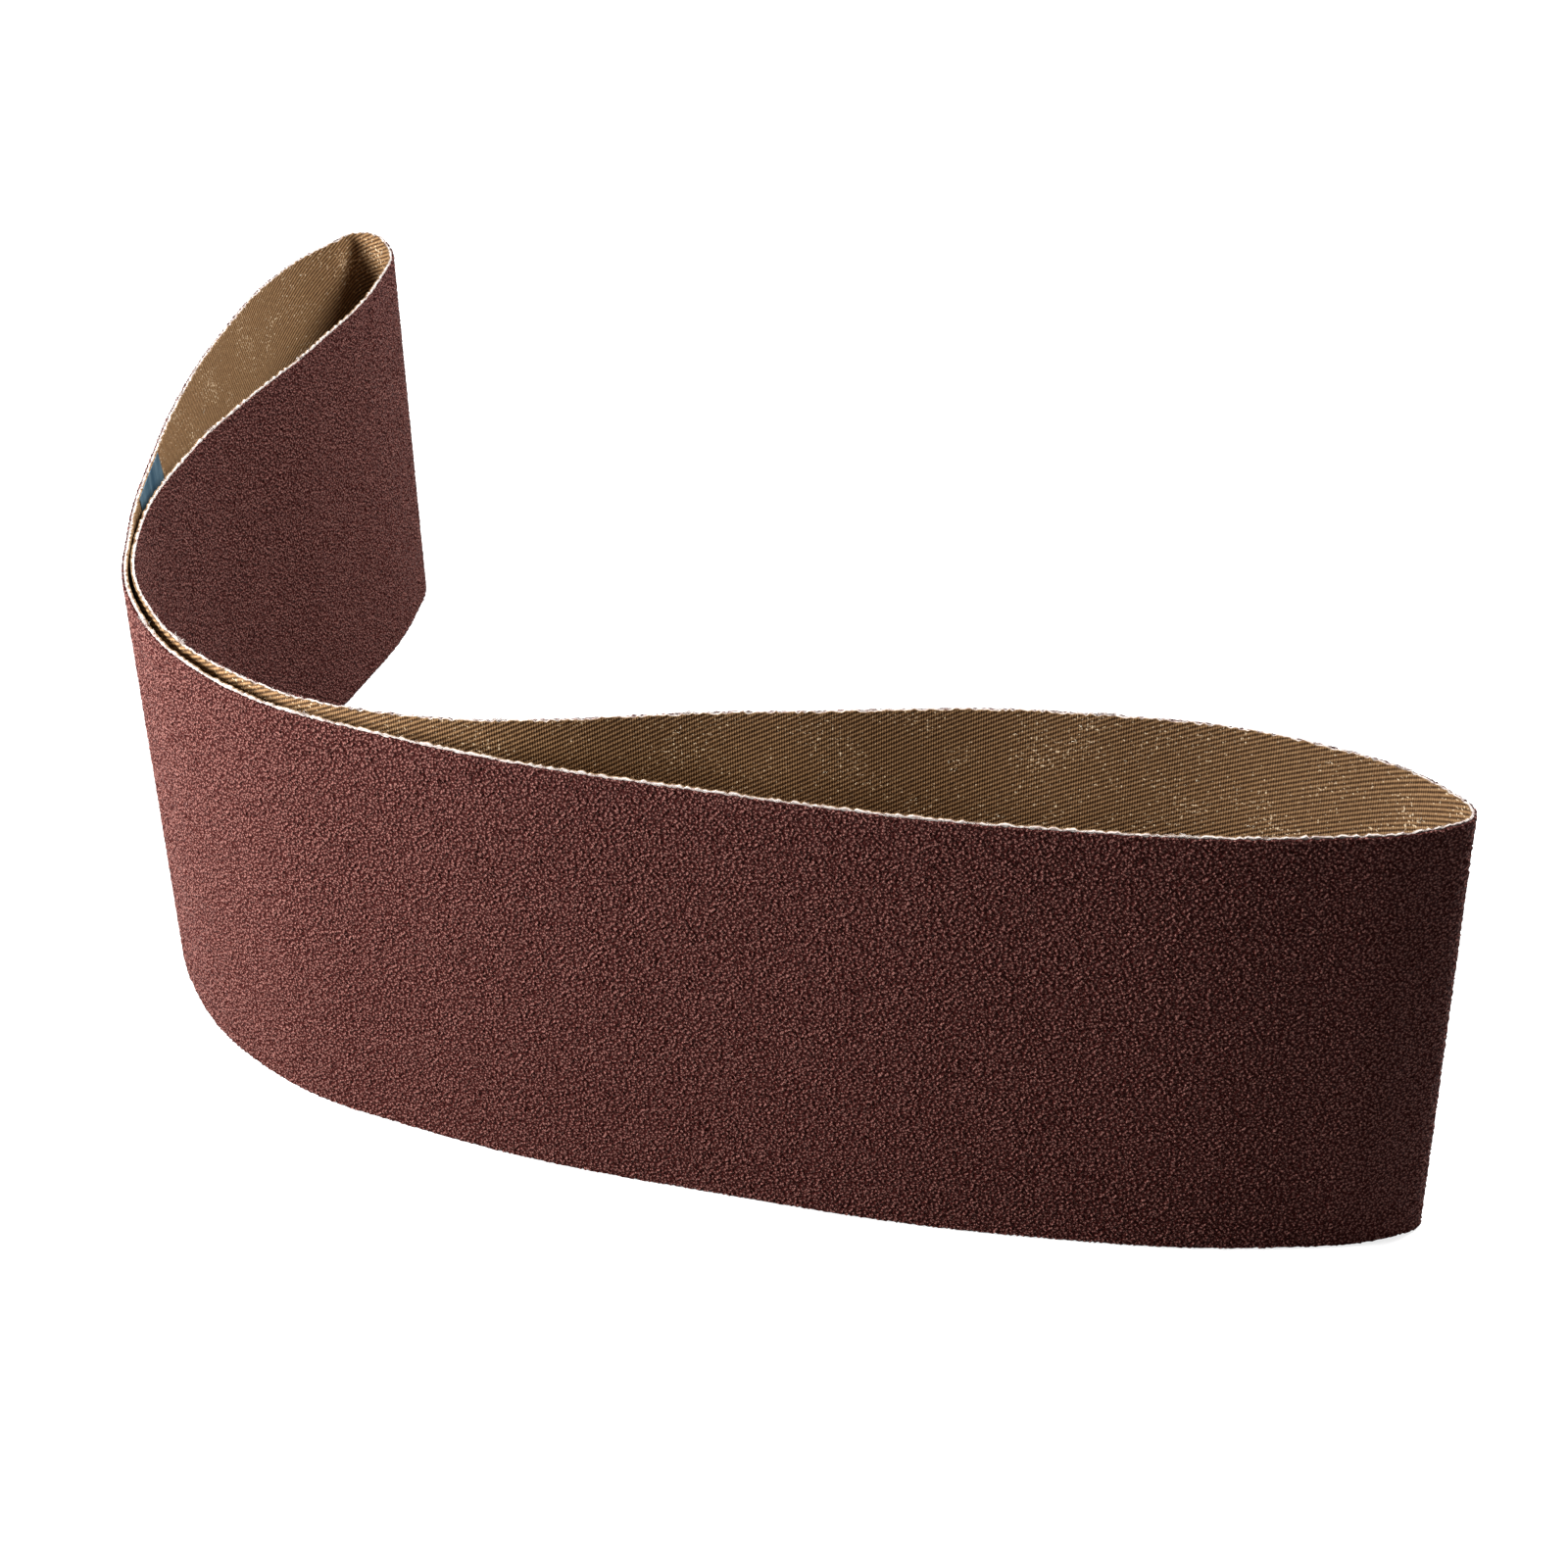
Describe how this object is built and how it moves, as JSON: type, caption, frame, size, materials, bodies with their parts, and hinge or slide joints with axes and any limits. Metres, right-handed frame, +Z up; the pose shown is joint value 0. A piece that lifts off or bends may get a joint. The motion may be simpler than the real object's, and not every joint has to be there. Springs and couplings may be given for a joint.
{
  "type": "sanding belt",
  "caption": "Sanding belt standing on its edge, folded into a long crescent: a loop of twill cloth with coarse brown grain outside, joined by a slanting seam taped on the inside.",
  "frame": {"origin": "on the surface the belt stands on, under the middle of the folded belt", "axes": "+Z up across the belt's width; -Y towards the long wide lobe, with its nose at +X; +Y towards the short lobe's nose"},
  "size_m": [0.2766, 0.2852, 0.1],
  "materials": {
    "backing_cloth": "resin-filled twill, matt",
    "abrasive_coat": "coarse bonded grain",
    "splice_tape": "satin film"
  },
  "bodies": {
    "root": {"backing_cloth": "backing_cloth", "abrasive_coat": "abrasive_coat", "splice_tape": "splice_tape"}
  },
  "joints": []
}
